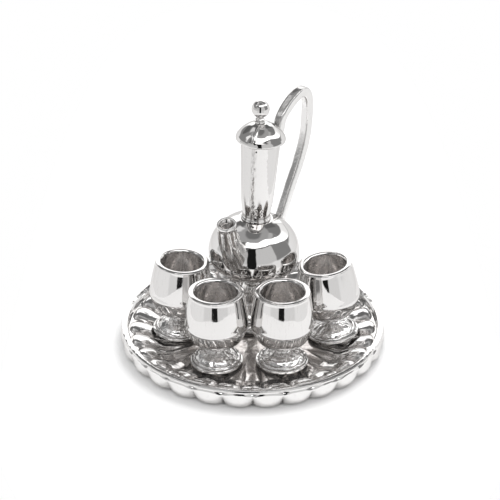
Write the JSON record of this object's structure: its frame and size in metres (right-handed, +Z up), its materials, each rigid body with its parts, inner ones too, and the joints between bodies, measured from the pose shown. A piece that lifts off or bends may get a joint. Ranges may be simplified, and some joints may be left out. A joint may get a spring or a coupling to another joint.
{
  "type": "miniature tea set",
  "caption": "Dolls' house metal tea set: a round scalloped tray with a tall lidded pot on a pedestal foot and stemmed goblets standing round it.",
  "frame": {"origin": "centre of the tray's base, on the surface that it stands on", "axes": "+Z up; the front, where two goblets stand side by side, is towards -Y; the spout points to the front left"},
  "size_m": [0.0442, 0.0442, 0.0423],
  "materials": {
    "bright_plate": "bright silver-coloured plate on a polished casting",
    "cast_plate": "silver-coloured plate on a rougher casting, slightly tarnished in the hollows"
  },
  "bodies": {
    "tray": {"tray": "bright_plate"},
    "pot": {"pot_foot": "cast_plate", "pot_pan": "bright_plate", "pot_dome": "bright_plate", "pot_neck": "bright_plate", "pot_spout": "cast_plate", "pot_handle": "bright_plate"},
    "lid": {"lid_cap": "bright_plate", "lid_finial": "bright_plate"},
    "goblet_front_left": {"goblet_front_left_bowl": "bright_plate", "goblet_front_left_foot": "cast_plate"},
    "goblet_front_right": {"goblet_front_right_bowl": "bright_plate", "goblet_front_right_foot": "cast_plate"},
    "goblet_left": {"goblet_left_bowl": "bright_plate", "goblet_left_foot": "cast_plate"},
    "goblet_right": {"goblet_right_bowl": "bright_plate", "goblet_right_foot": "cast_plate"}
  },
  "joints": [
    {"name": "pot_lift", "type": "slide", "parent": "tray", "child": "pot", "axis": [0.0271, 0, 0.9996], "range_m": [0, 0.03]},
    {"name": "lid_lift", "type": "slide", "parent": "pot", "child": "lid", "axis": [0.0271, 0, 0.9996], "range_m": [0, 0.015]},
    {"name": "goblet_front_left_lift", "type": "slide", "parent": "tray", "child": "goblet_front_left", "axis": [-0.2628, -0.4253, 0.866], "range_m": [0, 0.025]},
    {"name": "goblet_front_right_lift", "type": "slide", "parent": "tray", "child": "goblet_front_right", "axis": [0.2255, -0.4463, 0.866], "range_m": [0, 0.025]},
    {"name": "goblet_left_lift", "type": "slide", "parent": "tray", "child": "goblet_left", "axis": [-0.4999, 0.008, 0.866], "range_m": [0, 0.025]},
    {"name": "goblet_right_lift", "type": "slide", "parent": "tray", "child": "goblet_right", "axis": [0.4986, -0.0368, 0.866], "range_m": [0, 0.025]}
  ]
}
